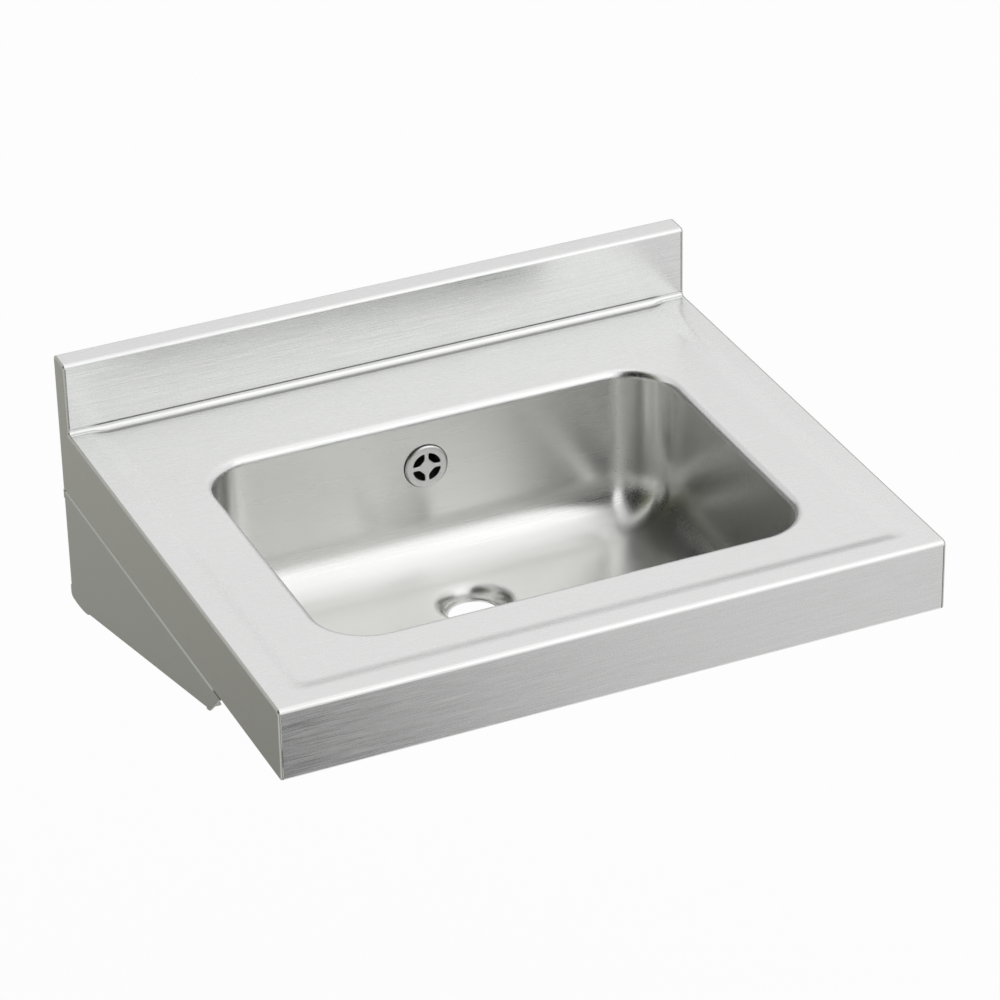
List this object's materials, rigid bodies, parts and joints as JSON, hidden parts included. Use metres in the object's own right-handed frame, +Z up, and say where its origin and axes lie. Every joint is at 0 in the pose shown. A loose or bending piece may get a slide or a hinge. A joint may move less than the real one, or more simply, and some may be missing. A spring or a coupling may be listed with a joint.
{
  "type": "lavatory sink",
  "caption": "Wall-hung stainless steel lavatory with a drawn rectangular bowl, low backsplash, straight apron, end panels, side brackets and a grilled overflow.",
  "frame": {"origin": "on the wall plane, in the middle of the hanger's back face, level with the raised edge of the deck", "axes": "+X to the right for someone standing at the bowl, +Y into the wall, +Z up"},
  "size_m": [0.5588, 0.4826, 0.2286],
  "materials": {
    "shell_stainless": "satin stainless steel with a fine grain along the width",
    "bowl_stainless": "drawn stainless steel with a soft satin polish",
    "bracket_stainless": "satin stainless steel",
    "grille_stainless": "satin pressed steel",
    "hanger_galvanised": "dull galvanised steel",
    "fastener_zinc": "bright zinc plating",
    "seal_rubber": "matt black rubber",
    "pad_rubber": "matt sound-deadening rubber",
    "elbow_plastic": "moulded black polypropylene"
  },
  "bodies": {
    "root": {"deck_sheet": "shell_stainless", "left_end_panel": "shell_stainless", "right_end_panel": "shell_stainless", "bowl": "bowl_stainless", "left_support_bracket": "bracket_stainless", "right_support_bracket": "bracket_stainless", "overflow_grille": "grille_stainless", "overflow_front_seal": "seal_rubber", "overflow_gasket": "seal_rubber", "overflow_elbow": "elbow_plastic", "wall_hanger": "hanger_galvanised", "left_bracket_bolts": "fastener_zinc", "right_bracket_bolts": "fastener_zinc", "left_bracket_nuts": "fastener_zinc", "right_bracket_nuts": "fastener_zinc", "left_floor_pad": "pad_rubber", "right_floor_pad": "pad_rubber"}
  },
  "joints": []
}
